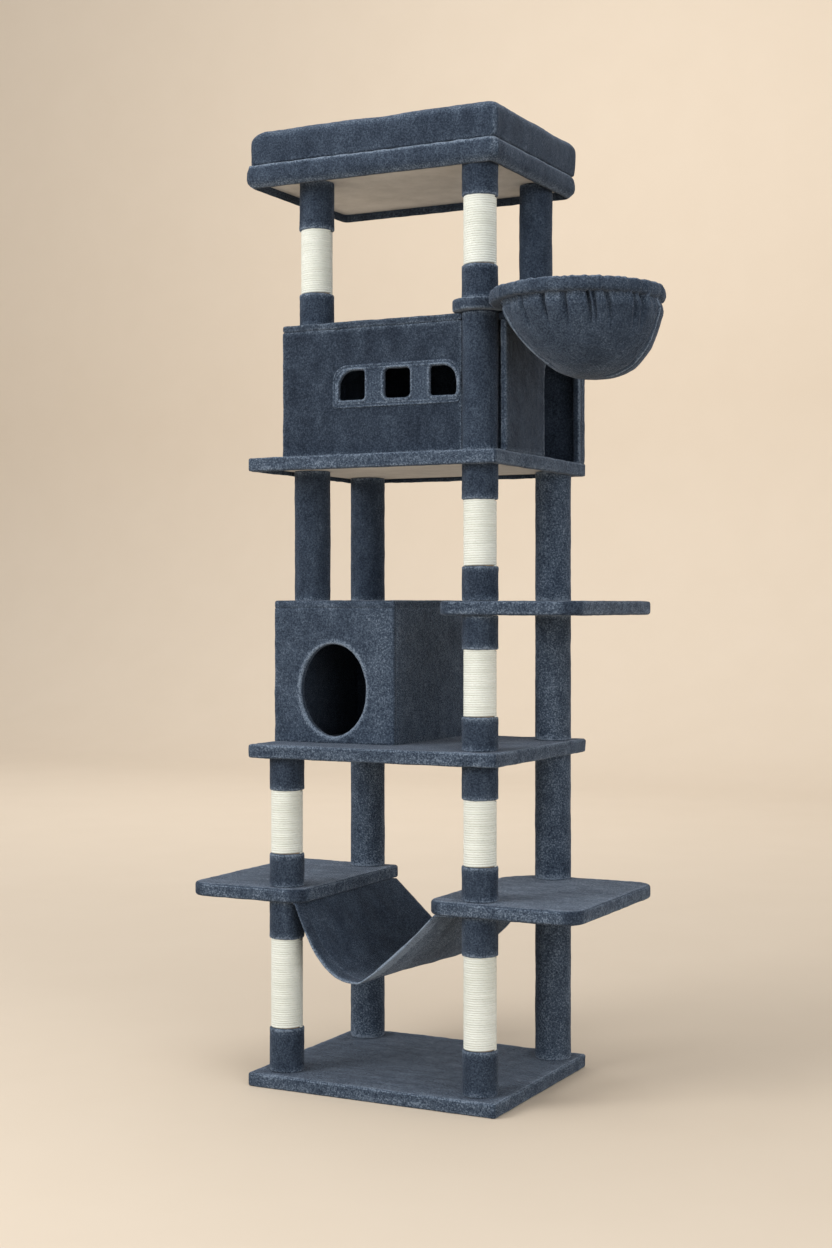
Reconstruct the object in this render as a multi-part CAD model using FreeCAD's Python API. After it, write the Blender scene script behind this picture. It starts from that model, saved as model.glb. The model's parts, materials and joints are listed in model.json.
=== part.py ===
import FreeCAD, Part
import math
import os

from FreeCAD import Vector

# Cat tree. X runs along the long front edge to the right, Y to the back, Z up.
# The origin is the centre of the base's underside. All sizes are millimetres.

# Boards
deck_width = 600.0
deck_depth = 500.0
board_height = 30.0
plush = 3.0
liner = 1.5
fold_width = 22.0
deck_corner = 7.0
deck_edge = 4.0
deck_recess = 9.0
deck_lip = 14.0
left_step_corners = (45.0, 45.0, 10.0, 45.0)
right_step_corners = (45.0, 45.0, 45.0, 100.0)
upper_step_corners = (45.0, 45.0, 45.0, 45.0)
step_front = -240.0
step_back = 224.0
left_step = (-464.0, -170.0)
right_step = (130.0, 478.0)
upper_step = (151.0, 478.0)

# Posts
post_x = 236.0
post_y = 187.0
back_right_shift = 8.0
lower_post = 377.0
post_length = 285.0
tube_radius = 31.0
tube_wall = 5.0
sisal_radius = 35.0
cuff_radius = 38.5
sleeve_radius = 40.5
slim_sleeve_radius = 37.0
lower_cuffs = (96.0, 84.5)
deck_cuffs = (73.0, 81.5)
step_cuffs = (72.0, 72.0)
perch_front_cuffs = (72.0, 81.0)
perch_left_cuffs = (76.0, 107.0)
plug_height = 20.0
stud_radius = 4.0
stud_grip = 15.0
stud_hole = 4.5
house_post_front_y = -75.0
perch_left_post = (-188.0, -138.0)
perch_right_post = (236.0, 107.0)

# Houses
wall = 14.0
roof = 15.0
lower_house_x = (-299.0, 3.0)
lower_house_y = (-135.0, 240.0)
entrance_width = 166.0
entrance_height = 206.0
entrance_sill = 14.5
upper_house_x = (-233.0, 297.0)
upper_house_y = (-212.0, 250.0)
upper_house_height = 290.0
post_clearance = 0.7
surround_x = (-105.0, 203.0)
surround_height = 93.0
surround_sill = 102.0
surround_depth = 3.0
surround_crown = 36.0
surround_foot = 10.0
window_size = 64.0
window_pitch = 110.0
window_sill = 17.0
window_first_x = -57.0
window_crown = 36.0
window_corner = 7.0
doorway_y = (14.0, 212.0)
doorway_height = 225.0
doorway_corner = 55.0

# Basket on its swivel bracket
bracket_gap = 1.5
bracket_height = 26.0
bracket_play = 0.3
collar_radius = 58.5
bracket_bore = 4.08
arm_length = 237.0
rest_angle = math.radians(-6.0)
neck_width = 46.0
neck_height = 16.0
hoop_radius = 162.0
hoop_wire = 6.0
rim_outer = 176.0
rim_inner = 148.0
rim_height = 28.0
bowl_radius = 172.0
bowl_depth = 160.0
bowl_skin = 4.0
bowl_fullness = 3.5

# Hammock
sling_y = (-230.0, 205.0)
sling_left = (-190.0, -168.0)
sling_right = (150.0, 190.0)
sling_end = 195.0
sling_tab = (194.0, 222.0)
sling_tab_y = (-140.0, 140.0)
sling_skin = 3.0
sling_drop = 160.0
keel_x = (-35.0, -2.0)
left_fullness = (2.55, 0.92)
right_fullness = (1.2, 1.8)
sling_stations = 16
screw_count = 4
screw_head = (6.0, 3.0)
screw_shank = (2.0, 14.0)

# Perch
perch_gap = 305.0
perch_x = (-314.0, 294.0)
perch_y = (-240.0, 205.0)
perch_height = 52.0
perch_corner = 18.0
perch_edge = 11.0
perch_recess = 20.0
perch_lip = 13.0
perch_panel = 15.0
bolster_inset = 3.0
bolster_left_inset = 8.0
bolster_height = 77.0
bolster_width = 80.0
bolster_edge = 15.0
cushion_height = 28.0

# Base fasteners
bolt_head = (7.5, 5.0)
washer = (10.0, 1.5)
counterbore = (11.0, 9.0)

# Levels, from the floor up
base_top = board_height
step_level = base_top + lower_post
middle_level = step_level + board_height + post_length
upper_step_level = middle_level + board_height + post_length
upper_level = upper_step_level + board_height + post_length
lower_house_top = upper_step_level + board_height
upper_house_top = upper_level + board_height + upper_house_height
bracket_level = upper_house_top + bracket_gap
perch_level = upper_house_top + perch_gap
perch_top = perch_level + perch_height

deck_x = (-deck_width / 2, deck_width / 2)
deck_y = (-deck_depth / 2, deck_depth / 2)
step_y = (step_front, step_back)
front_left = (-post_x, -post_y)
back_left = (-post_x, post_y)
front_right = (post_x, -post_y)
back_right = (post_x + back_right_shift, post_y)
house_front_post = (-post_x, house_post_front_y)


def write(name, solids):
    """Save one named piece, or a group of equal pieces, as a STEP file."""
    shape = solids[0] if len(solids) == 1 else Part.makeCompound(solids)
    shape.exportStep("parts/%s.step" % name)


def outline(u, v, radii, place):
    """Closed wire: the rectangle u by v with four corner radii; place(u, v) gives a point."""
    edges = []
    corners = []
    turn = 1.0 - math.sqrt(0.5)
    signs = ((0, 0, 1, 1), (1, 0, -1, 1), (1, 1, -1, -1), (0, 1, 1, -1))
    for number, (a, b, du, dv) in enumerate(signs):
        r = radii[number]
        along_v = (u[a], v[b] + dv * r)
        along_u = (u[a] + du * r, v[b])
        middle = (u[a] + du * r * turn, v[b] + dv * r * turn)
        first, last = (along_v, along_u) if number % 2 == 0 else (along_u, along_v)
        corners.append((place(*first), place(*middle), place(*last), r))
    for number, (first, middle, last, r) in enumerate(corners):
        if r > 0:
            edges.append(Part.Arc(first, middle, last).toShape())
        following = corners[(number + 1) % 4][0]
        edges.append(Part.LineSegment(last, following).toShape())
    return Part.Wire(edges)


def slab(x, y, z, radius=0.0):
    """Upright plate with its vertical corners rounded, all alike or each with its own radius."""
    radii = radius if isinstance(radius, tuple) else (radius,) * 4
    wire = outline(x, y, radii, lambda a, b: Vector(a, b, z[0]))
    return Part.Face(wire).extrude(Vector(0, 0, z[1] - z[0]))


def front_plate(x, z, y, radii):
    """Plate that faces the front, with its own radius at each corner."""
    wire = outline(x, z, radii, lambda a, b: Vector(a, y[0], b))
    return Part.Face(wire).extrude(Vector(0, y[1] - y[0], 0))


def side_plate(y, z, x, radii):
    """Plate that faces the side, with its own radius at each corner."""
    wire = outline(y, z, radii, lambda a, b: Vector(x[0], a, b))
    return Part.Face(wire).extrude(Vector(x[1] - x[0], 0, 0))


def soften(shape, levels, radius):
    """Round the edges that lie flat at the given heights."""
    edges = []
    for edge in shape.Edges:
        box = edge.BoundBox
        flat = box.ZMax - box.ZMin < 0.001
        if flat and min(abs(box.ZMin - level) for level in levels) < 0.001:
            edges.append(edge)
    return shape.makeFillet(radius, edges)


def inset(span, amount):
    return (span[0] + amount, span[1] - amount)


def upright(place, radius, z):
    """Cylinder on a vertical axis."""
    return Part.makeCylinder(radius, z[1] - z[0], Vector(place[0], place[1], z[0]))


def ring(place, outer, inner, z):
    return upright(place, outer, z).cut(upright(place, inner, z))


def post_sections():
    """Every post section as (place, low end, high end, kind or its two cuffs' heights)."""
    under_middle = middle_level + deck_recess
    under_upper = upper_level + deck_recess
    under_perch = perch_level + perch_recess
    on_step = step_level + board_height
    on_middle = middle_level + board_height
    on_upper = upper_level + board_height
    under_bracket = bracket_level - bracket_play
    on_bracket = bracket_level + bracket_height + bracket_play
    return {
        "front_left_lower": (front_left, base_top, step_level, lower_cuffs),
        "front_left_upper": (front_left, on_step, under_middle, deck_cuffs),
        "front_right_first": (front_right, base_top, step_level, lower_cuffs),
        "front_right_second": (front_right, on_step, under_middle, deck_cuffs),
        "front_right_third": (front_right, on_middle, upper_step_level, step_cuffs),
        "front_right_fourth": (front_right, lower_house_top, under_upper, deck_cuffs),
        "front_right_fifth": (front_right, on_upper, under_bracket, "wrapped"),
        "perch_front": (front_right, on_bracket, under_perch, perch_front_cuffs),
        "perch_left": (perch_left_post, upper_house_top, under_perch, perch_left_cuffs),
        "perch_right": (perch_right_post, upper_house_top, under_perch, "slim"),
        "back_left_lower": (back_left, base_top, step_level, "sleeve"),
        "back_left_upper": (back_left, on_step, under_middle, "sleeve"),
        "back_right_first": (back_right, base_top, step_level, "sleeve"),
        "back_right_second": (back_right, on_step, under_middle, "sleeve"),
        "back_right_third": (back_right, on_middle, upper_step_level, "sleeve"),
        "back_right_fourth": (back_right, lower_house_top, under_upper, "sleeve"),
        "house_front": (house_front_post, lower_house_top, under_upper, "sleeve"),
        "house_back": (back_left, lower_house_top, under_upper, "sleeve"),
    }


def junctions():
    """Every threaded stud as (place, low end, high end)."""
    panel_grip = 12.0
    under_middle = middle_level + deck_recess
    under_upper = upper_level + deck_recess
    under_perch = perch_level + perch_recess
    studs = []
    for place in (front_left, back_left, front_right, back_right):
        studs.append((place, step_level - stud_grip, step_level + board_height + stud_grip))
    for place in (front_left, back_left):
        studs.append((place, under_middle - stud_grip, under_middle + panel_grip))
    for place in (front_right, back_right):
        studs.append((place, under_middle - stud_grip, middle_level + board_height + stud_grip))
        studs.append((place, upper_step_level - stud_grip, lower_house_top + stud_grip))
    for place in (back_right, house_front_post, back_left):
        studs.append((place, under_upper - stud_grip, under_upper + panel_grip))
    studs.append((front_right, under_upper - stud_grip, upper_level + board_height + stud_grip))
    for place in (house_front_post, back_left):
        studs.append((place, lower_house_top - roof + plush, lower_house_top + stud_grip))
    for place in (perch_left_post, perch_right_post):
        studs.append((place, upper_house_top - roof + plush, upper_house_top + stud_grip))
    bracket_top = bracket_level + bracket_height
    studs.append((front_right, bracket_level - stud_grip, bracket_top + stud_grip))
    for place in (front_right, perch_left_post, perch_right_post):
        studs.append((place, under_perch - stud_grip, under_perch + panel_grip))
    return studs


def drill(shape):
    """Clear every threaded stud's way through a board."""
    box = shape.BoundBox
    for place, low, high in junctions():
        inside_x = box.XMin < place[0] < box.XMax
        inside_y = box.YMin < place[1] < box.YMax
        if inside_x and inside_y and low < box.ZMax and high > box.ZMin:
            shape = shape.cut(upright(place, stud_hole, (low, high)))
    return shape


def plain_board(x, y, level, corners, bores=()):
    """Board, wrapped plush cover and underside liner of a flat-bottomed platform."""
    z = (level, level + board_height)
    panel_corners = tuple(corner - plush for corner in corners)
    panel = slab(inset(x, plush), inset(y, plush), inset(z, plush), panel_corners)
    window_x = inset(x, plush + fold_width)
    window_y = inset(y, plush + fold_width)
    liner_corners = tuple(max(corner - plush - fold_width, deck_edge) for corner in corners)
    liner_sheet = slab(window_x, window_y, (level, level + plush), liner_corners)
    cover = soften(slab(x, y, z, corners), z, deck_edge).cut(panel).cut(liner_sheet)
    shapes = [drill(shape) for shape in (panel, cover, liner_sheet)]
    for bore in bores:
        shapes = [shape.cut(bore) for shape in shapes]
    return shapes


def recessed_board(x, y, z, corner, edge, lip, recess, wrap, panel_height):
    """Board whose wrapped rim hangs below its panel: panel, battens, cover and liner."""
    liner_z = (z[0] + recess, z[0] + recess + liner)
    panel_z = (liner_z[1], liner_z[1] + panel_height)
    panel_x = inset(x, wrap)
    panel_y = inset(y, wrap)
    panel_corner = corner - wrap
    window_x = inset(x, lip)
    window_y = inset(y, lip)
    panel = slab(panel_x, panel_y, panel_z, panel_corner)
    mouth = slab(window_x, window_y, (z[0], panel_z[0]), deck_edge)
    liner_sheet = slab(window_x, window_y, liner_z, deck_edge)
    cover = soften(slab(x, y, z, corner), z, edge).cut(panel).cut(mouth)
    batten_z = (z[0] + wrap, panel_z[0])
    battens = slab(panel_x, panel_y, batten_z, panel_corner)
    battens = battens.cut(slab(inset(x, lip - plush), inset(y, lip - plush), batten_z, deck_edge))
    return panel, battens, cover, liner_sheet


def make_base():
    bores = []
    bolts = []
    washers = []
    for place in (front_left, back_left, front_right, back_right):
        bores.append(upright(place, counterbore[0], (0, counterbore[1])))
        bores.append(upright(place, stud_hole, (0, base_top)))
        seat = counterbore[1] - washer[1]
        head = upright(place, bolt_head[0], (seat - bolt_head[1], seat))
        shank = upright(place, stud_radius, (seat, base_top + stud_grip))
        bolts.append(head.fuse(shank).removeSplitter())
        washers.append(ring(place, washer[0], stud_hole, (seat, counterbore[1])))
    panel, cover, sheet = plain_board(deck_x, deck_y, 0.0, (deck_corner,) * 4, bores)
    write("base_board", [panel])
    write("base_plush_cover", [cover])
    write("base_underside_liner", [sheet])
    write("base_bolts", bolts)
    write("base_bolt_washers", washers)


def make_steps():
    """The three side steps; the two lower ones carry the hammock's screws."""
    screws = hammock_screws()
    liners = []
    steps = (("left_step", left_step, step_level, left_step_corners),
             ("right_step", right_step, step_level, right_step_corners),
             ("upper_step", upper_step, upper_step_level, upper_step_corners))
    for name, x, level, corners in steps:
        bores = screws if level == step_level else ()
        panel, cover, sheet = plain_board(x, step_y, level, corners, bores)
        write(name + "_board", [panel])
        write(name + "_plush_cover", [cover])
        liners.append(sheet)
    write("step_underside_liners", liners)


def make_decks():
    """The middle and upper decks, with a shallow recess inside the rim underneath."""
    batten_frames = []
    panel_height = board_height - deck_recess - liner - plush
    for name, level in (("middle_deck", middle_level), ("upper_deck", upper_level)):
        z = (level, level + board_height)
        panel, battens, cover, sheet = recessed_board(
            deck_x, deck_y, z, deck_corner, deck_edge, deck_lip, deck_recess, plush, panel_height)
        write(name + "_board", [drill(panel)])
        write(name + "_plush_cover", [drill(cover.cut(battens))])
        write(name + "_underside_liner", [drill(sheet)])
        batten_frames.append(battens)
    write("deck_rim_battens", batten_frames)


def make_posts():
    """Card tubes with wooden end plugs, and what each is covered with."""
    tubes = []
    plugs = []
    sleeves = {}
    cuffs = {}
    for name, (place, low, high, kind) in post_sections().items():
        z = (low, high)
        bore = tube_radius - tube_wall
        tubes.append(ring(place, tube_radius, bore, z))
        plugs.append(ring(place, bore, stud_radius + 0.2, (low, low + plug_height)))
        plugs.append(ring(place, bore, stud_radius + 0.2, (high - plug_height, high)))
        if isinstance(kind, tuple):
            wrap_z = (low + kind[0], high - kind[1])
            write(name + "_sisal", [ring(place, sisal_radius, tube_radius, wrap_z)])
            owner = "front_left" if place == front_left else "front_right"
            owner = "perch_posts" if name.startswith("perch") else owner
            pair = [ring(place, cuff_radius, tube_radius, (low, wrap_z[0])),
                    ring(place, cuff_radius, tube_radius, (wrap_z[1], high))]
            cuffs.setdefault(owner, []).extend(pair)
        else:
            radius = {"sleeve": sleeve_radius, "wrapped": cuff_radius,
                      "slim": slim_sleeve_radius}[kind]
            owner = "_".join(name.split("_")[:2]) if kind == "sleeve" else name
            owner = "house_posts" if name.startswith("house") else owner
            sleeves.setdefault(owner, []).append(ring(place, radius, tube_radius, z))
    for owner, solids in sleeves.items():
        write(owner + "_sleeve", solids)
    for owner, solids in cuffs.items():
        write(owner + "_cuffs", solids)
    write("post_tubes", tubes)
    write("post_end_plugs", plugs)
    studs = [upright(place, stud_radius, (low, high)) for place, low, high in junctions()]
    write("threaded_studs", studs)


def make_lower_house():
    x, y = lower_house_x, lower_house_y
    floor = middle_level + board_height
    z = (floor, lower_house_top - roof)
    square = (0.0,) * 4
    front = front_plate(x, z, (y[0], y[0] + wall), square)
    middle_x = sum(x) / 2
    middle_z = floor + entrance_sill + entrance_height / 2
    centre = Vector(middle_x, y[0], middle_z)
    tall = Vector(middle_x, y[0], middle_z + entrance_height / 2)
    wide = Vector(middle_x + entrance_width / 2, y[0], middle_z)
    oval = Part.Wire(Part.Ellipse(tall, wide, centre).toShape())
    front = front.cut(Part.Face(oval).extrude(Vector(0, wall, 0)))
    side_y = inset(y, wall)
    write("lower_house_front", [front])
    write("lower_house_back", [front_plate(x, z, (y[1] - wall, y[1]), square)])
    write("lower_house_left", [side_plate(side_y, z, (x[0], x[0] + wall), square)])
    write("lower_house_right", [side_plate(side_y, z, (x[1] - wall, x[1]), square)])
    write("lower_house_roof", [drill(slab(x, y, (z[1], lower_house_top)))])


def window_openings(y):
    """Three small windows; the outer two have one large rounded shoulder each."""
    openings = []
    floor = upper_level + board_height
    low = floor + surround_sill + window_sill
    for number in range(3):
        middle = window_first_x + number * window_pitch
        x = (middle - window_size / 2, middle + window_size / 2)
        radii = [window_corner] * 4
        if number == 1:
            radii = [window_corner * 1.6] * 4
        else:
            radii[3 if number == 0 else 2] = window_crown
        openings.append(front_plate(x, (low, low + window_size), y, radii))
    return openings


def make_upper_house():
    x, y = upper_house_x, upper_house_y
    floor = upper_level + board_height
    z = (floor, upper_house_top - roof)
    square = (0.0,) * 4
    post = upright(front_right, cuff_radius + post_clearance, (floor, upper_house_top))
    surround_y = (y[0] - surround_depth, y[0])
    openings = window_openings((surround_y[0], y[0] + wall))

    front = front_plate((x[0], post_x), z, (y[0], y[0] + wall), square).cut(post)
    surround_z = (floor + surround_sill, floor + surround_sill + surround_height)
    radii = (surround_foot, surround_foot, surround_crown, surround_crown)
    surround = front_plate(surround_x, surround_z, surround_y, radii)
    for opening in openings:
        front = front.cut(opening)
        surround = surround.cut(opening)

    right_y = (front_right[1], y[1] - wall)
    right_x = (x[1] - wall, x[1])
    right = side_plate(right_y, z, right_x, square)
    doorway_radii = (0.0, 0.0, doorway_corner, doorway_corner)
    doorway_z = (floor, floor + doorway_height)
    right = right.cut(side_plate(doorway_y, doorway_z, right_x, doorway_radii))

    roof_z = (z[1], upper_house_top)
    roof_plate = slab(x, y, roof_z).cut(post)
    roof_plate = roof_plate.cut(slab((post_x, x[1]), (y[0], front_right[1]), roof_z))
    write("upper_house_front", [front])
    write("upper_house_window_surround", [surround])
    write("upper_house_right", [right])
    write("upper_house_back", [front_plate(x, z, (y[1] - wall, y[1]), square)])
    write("upper_house_left", [side_plate(inset(y, wall), z, (x[0], x[0] + wall), square)])
    write("upper_house_roof", [drill(roof_plate)])


def bowl_curve(radius, low):
    """Half section of the hanging bowl, from its lowest point out to the rim."""
    points = []
    for share in (0.0, 0.3, 0.55, 0.75, 0.9, 1.0):
        points.append(Vector(radius * share, 0, low + bowl_depth * share ** bowl_fullness))
    curve = Part.BSplineCurve()
    curve.interpolate(points, InitialTangent=Vector(1, 0, 0), FinalTangent=Vector(0.25, 0, 1))
    return curve.toShape()


def make_basket():
    """Swivelling bracket, steel hoop, and the fabric bowl with its gathered rim casing."""
    axis = Vector(front_right[0], front_right[1], 0)
    centre_z = bracket_level + bracket_height / 2
    arm = Vector(arm_length, 0, 0)
    low = bracket_level
    high = bracket_level + bracket_height
    hoop_place = arm + Vector(0, 0, centre_z)
    hoop = Part.makeTorus(hoop_radius, hoop_wire, hoop_place)

    collar = soften(upright((0, 0), collar_radius, (low, high)), (low, high), 4.0)
    neck_x = (collar_radius * 0.7, arm_length - hoop_radius + hoop_wire / 2)
    neck_y = (-neck_width / 2, neck_width / 2)
    neck_z = (centre_z - neck_height / 2, centre_z + neck_height / 2)
    neck = slab(neck_x, neck_y, neck_z)
    bracket = collar.fuse(neck).removeSplitter()
    bracket = bracket.cut(upright((0, 0), bracket_bore, (low, high))).cut(hoop)

    rim_z = (centre_z - rim_height / 2, centre_z + rim_height / 2)
    centre = (arm_length, 0.0)
    rim = ring(centre, rim_outer, rim_inner, rim_z)
    rim = soften(rim, rim_z, rim_height * 0.3)
    floor = rim_z[0] - bowl_depth + bowl_skin
    outer = bowl_curve(bowl_radius, floor)
    inner = bowl_curve(bowl_radius - bowl_skin, floor + bowl_skin)
    outer_ends = (outer.valueAt(outer.FirstParameter), outer.valueAt(outer.LastParameter))
    inner_ends = (inner.valueAt(inner.FirstParameter), inner.valueAt(inner.LastParameter))
    top = Part.LineSegment(outer_ends[1], inner_ends[1]).toShape()
    bottom = Part.LineSegment(inner_ends[0], outer_ends[0]).toShape()
    half = Part.Face(Part.Wire(Part.__sortEdges__([outer, top, inner, bottom])))
    skin = half.revolve(Vector(0, 0, 0), Vector(0, 0, 1), 360)
    skin.translate(arm)
    bowl = rim.fuse(skin).removeSplitter()
    bowl = bowl.cut(Part.makeTorus(hoop_radius, hoop_wire + 0.3, hoop_place))
    neck_room = slab((neck_x[0], neck_x[1] + 0.4), inset(neck_y, -0.4), inset(neck_z, -0.4))
    collar_room = upright((0, 0), collar_radius + 0.4, rim_z)
    bowl = bowl.cut(neck_room).cut(collar_room)

    for name, shape in (("basket_bracket", bracket), ("basket_hoop", hoop), ("basket_bowl", bowl)):
        shape.rotate(Vector(0, 0, 0), Vector(0, 0, 1), math.degrees(rest_angle))
        shape.translate(axis)
        write(name, [shape])


def between(ends, share):
    return ends[0] + (ends[1] - ends[0]) * share


def sling_height(x, share):
    """Middle of the sling's cloth at x, where share runs from front edge to back edge."""
    keel = between(keel_x, share)
    if x < keel:
        side = between(sling_left, share)
        rise = ((keel - x) / (keel - side)) ** between(left_fullness, share)
    else:
        side = between(sling_right, share)
        rise = ((x - keel) / (side - keel)) ** between(right_fullness, share)
    return step_level - sling_skin / 2 - sling_drop * (1 - rise)


def sling_section(share):
    """Closed section of the sling at one end, with its two flat edges under the steps."""
    y = between(sling_y, share)
    left = between(sling_left, share)
    right = between(sling_right, share)
    half = sling_skin / 2
    over = [Vector(-sling_end, y, step_level), Vector(left, y, step_level)]
    under = [Vector(-sling_end, y, step_level - sling_skin),
             Vector(left - sling_skin, y, step_level - sling_skin)]
    for number in range(1, sling_stations):
        x = left + (right - left) * number / sling_stations
        slope = sling_height(x + 0.5, share) - sling_height(x - 0.5, share)
        across = Vector(-slope, 0, 1).normalize() * half
        middle = Vector(x, y, sling_height(x, share))
        over.append(middle + across)
        under.append(middle - across)
    over += [Vector(right, y, step_level), Vector(sling_end, y, step_level)]
    under += [Vector(right + sling_skin, y, step_level - sling_skin),
              Vector(sling_end, y, step_level - sling_skin)]
    return Part.makePolygon(over + under[::-1] + [over[0]])


def hammock_screws():
    """Round-head screws that hold the sling's two tabs up under the steps."""
    screws = []
    spacing = (sling_tab_y[1] - sling_tab_y[0]) / screw_count
    head_z = (step_level - sling_skin - screw_head[1], step_level - sling_skin)
    shank_z = (head_z[1], head_z[1] + screw_shank[1])
    middle = sum(sling_tab) / 2
    for x in (-middle, middle):
        for number in range(screw_count):
            place = (x, sling_tab_y[0] + spacing * (number + 0.5))
            head = upright(place, screw_head[0], head_z)
            screws.append(head.fuse(upright(place, screw_shank[0], shank_z)).removeSplitter())
    return screws


def make_hammock():
    sling = Part.makeLoft([sling_section(0.0), sling_section(1.0)], True, True)
    tab_z = (step_level - sling_skin, step_level)
    for tab_x in ((-sling_tab[1], -sling_tab[0]), sling_tab):
        sling = sling.fuse(slab(tab_x, sling_tab_y, tab_z))
    sling = sling.removeSplitter()
    screws = hammock_screws()
    for screw in screws:
        sling = sling.cut(screw)
    write("hammock_sling", [sling])
    write("hammock_screws", screws)


def make_perch():
    """Padded board on three posts, the raised bolster round it, and a loose cushion."""
    z = (perch_level, perch_top)
    panel, battens, cover, sheet = recessed_board(
        perch_x, perch_y, z, perch_corner, perch_edge, perch_lip, perch_recess,
        perch_lip - plush, perch_panel)
    write("perch_board", [drill(panel)])
    write("perch_padded_cover", [cover])
    write("perch_underside_liner", [drill(sheet)])

    bolster_x = (perch_x[0] + bolster_left_inset, perch_x[1])
    bolster_y = (perch_y[0] + bolster_inset, perch_y[1])
    bolster_z = (perch_top, perch_top + bolster_height)
    well_x = inset(bolster_x, bolster_width)
    well_y = inset(bolster_y, bolster_width)
    bolster = slab(bolster_x, bolster_y, bolster_z, perch_corner)
    bolster = bolster.cut(slab(well_x, well_y, bolster_z, perch_corner))
    write("perch_bolster", [soften(bolster, bolster_z[1:], bolster_edge)])
    cushion_z = (perch_top, perch_top + cushion_height)
    cushion = slab(inset(well_x, 1), inset(well_y, 1), cushion_z, perch_corner - 1)
    write("perch_cushion", [soften(cushion, cushion_z[1:], bolster_edge / 2)])


os.makedirs("parts", exist_ok=True)
make_base()
make_steps()
make_decks()
make_posts()
make_lower_house()
make_upper_house()
make_basket()
make_hammock()
make_perch()
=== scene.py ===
import json
import math

import bmesh
import bpy
import numpy as np
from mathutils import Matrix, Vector


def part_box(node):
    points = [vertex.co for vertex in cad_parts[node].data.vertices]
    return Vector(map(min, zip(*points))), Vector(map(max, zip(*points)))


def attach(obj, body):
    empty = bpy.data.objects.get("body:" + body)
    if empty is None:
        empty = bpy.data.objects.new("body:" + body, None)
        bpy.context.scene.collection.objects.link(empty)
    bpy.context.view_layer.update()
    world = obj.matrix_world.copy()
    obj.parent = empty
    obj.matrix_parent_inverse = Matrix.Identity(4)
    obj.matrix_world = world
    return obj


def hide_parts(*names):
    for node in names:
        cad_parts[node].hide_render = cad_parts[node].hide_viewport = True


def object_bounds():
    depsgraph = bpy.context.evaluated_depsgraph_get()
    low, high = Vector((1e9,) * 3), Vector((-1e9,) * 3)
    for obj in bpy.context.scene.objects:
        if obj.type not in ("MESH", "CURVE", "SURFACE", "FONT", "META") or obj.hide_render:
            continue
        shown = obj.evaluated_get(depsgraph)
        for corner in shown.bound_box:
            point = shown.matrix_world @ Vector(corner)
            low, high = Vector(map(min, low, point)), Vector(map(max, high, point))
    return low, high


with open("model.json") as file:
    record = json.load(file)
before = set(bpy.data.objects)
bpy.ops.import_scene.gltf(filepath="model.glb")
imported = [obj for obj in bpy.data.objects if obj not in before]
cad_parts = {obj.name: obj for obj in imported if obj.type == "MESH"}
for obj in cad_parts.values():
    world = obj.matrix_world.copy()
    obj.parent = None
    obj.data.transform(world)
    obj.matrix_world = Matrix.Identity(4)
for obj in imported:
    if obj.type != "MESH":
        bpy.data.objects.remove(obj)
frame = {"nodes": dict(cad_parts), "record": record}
cad_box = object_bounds()
scene = bpy.context.scene
record = frame["record"]

# ---- measures, in metres
SKIN = 0.0026            # plush with its backing cloth
CELL = 0.007             # usual face size on plush
TUBE = 0.031             # outer radius of the card tubes
ROPE = 0.0024            # half the spacing of the sisal rope
OVERLAP, FLATTENED = 1.22, 0.8    # how far neighbouring ropes press together, and flatten
SISAL_RADIUS = 0.0352
STRAND = 0.011           # along the rope, from one strand to the next
SISAL_TUCK = 0.002       # how far the rope runs on under its cuffs


# ---- numbers and meshes
def swell(points, size, seed, waves=14):
    """Smooth random height at each point, about -1 to 1, with bumps about `size` across."""
    draw = np.random.RandomState(seed)
    way = draw.normal(size=(waves, 3))
    way /= np.linalg.norm(way, axis=1)[:, None]
    pace = 2 * math.pi / size * draw.uniform(0.45, 1.3, waves)
    start = draw.uniform(0, 2 * math.pi, waves)
    return np.sin(points @ (way * pace[:, None]).T + start).sum(1) / math.sqrt(waves)


def turns(count):
    """Even angles round a circle."""
    return np.arange(count) * 2 * math.pi / count


def smooth_step(value, low, high):
    t = np.clip((value - low) / (high - low), 0, 1)
    return t * t * (3 - 2 * t)


def between(ends, share):
    return ends[0] + (ends[1] - ends[0]) * share


def hill(value, at, width):
    return np.exp(-(((value - at) / width) ** 2))


def make(name, verts, faces, smooth=True):
    mesh = bpy.data.meshes.new(name)
    mesh.from_pydata(np.asarray(verts).tolist(), [], [list(map(int, f)) for f in faces])
    mesh.validate()
    mesh.update()
    mesh.polygons.foreach_set("use_smooth", [smooth] * len(mesh.polygons))
    piece = bpy.data.objects.new(name, mesh)
    scene.collection.objects.link(piece)
    return piece


def outward(piece):
    """Turn a closed piece's faces to look outwards."""
    work = bmesh.new()
    work.from_mesh(piece.data)
    bmesh.ops.recalc_face_normals(work, faces=work.faces)
    work.to_mesh(piece.data)
    work.free()
    piece.data.update()
    return piece


def points_of(piece, kind="co"):
    found = np.empty(len(piece.data.vertices) * 3)
    piece.data.vertices.foreach_get(kind, found)
    return found.reshape(-1, 3)


def normals_of(piece):
    return points_of(piece, "normal")


def put(piece, points):
    piece.data.vertices.foreach_set("co", np.asarray(points, float).ravel())
    piece.data.update()


def push(piece, amount):
    """Move every point along its normal."""
    put(piece, points_of(piece) + normals_of(piece) * np.asarray(amount)[:, None])


def settle(piece):
    """Apply the piece's modifiers."""
    graph = bpy.context.evaluated_depsgraph_get()
    mesh = bpy.data.meshes.new_from_object(piece.evaluated_get(graph))
    old = piece.data
    piece.modifiers.clear()
    piece.data = mesh
    bpy.data.meshes.remove(old)
    mesh.polygons.foreach_set("use_smooth", [True] * len(mesh.polygons))
    mesh.update()


def modify(piece, kind, **settings):
    modifier = piece.modifiers.new(kind, kind)
    for key, value in settings.items():
        setattr(modifier, key, value)
    settle(piece)


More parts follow.
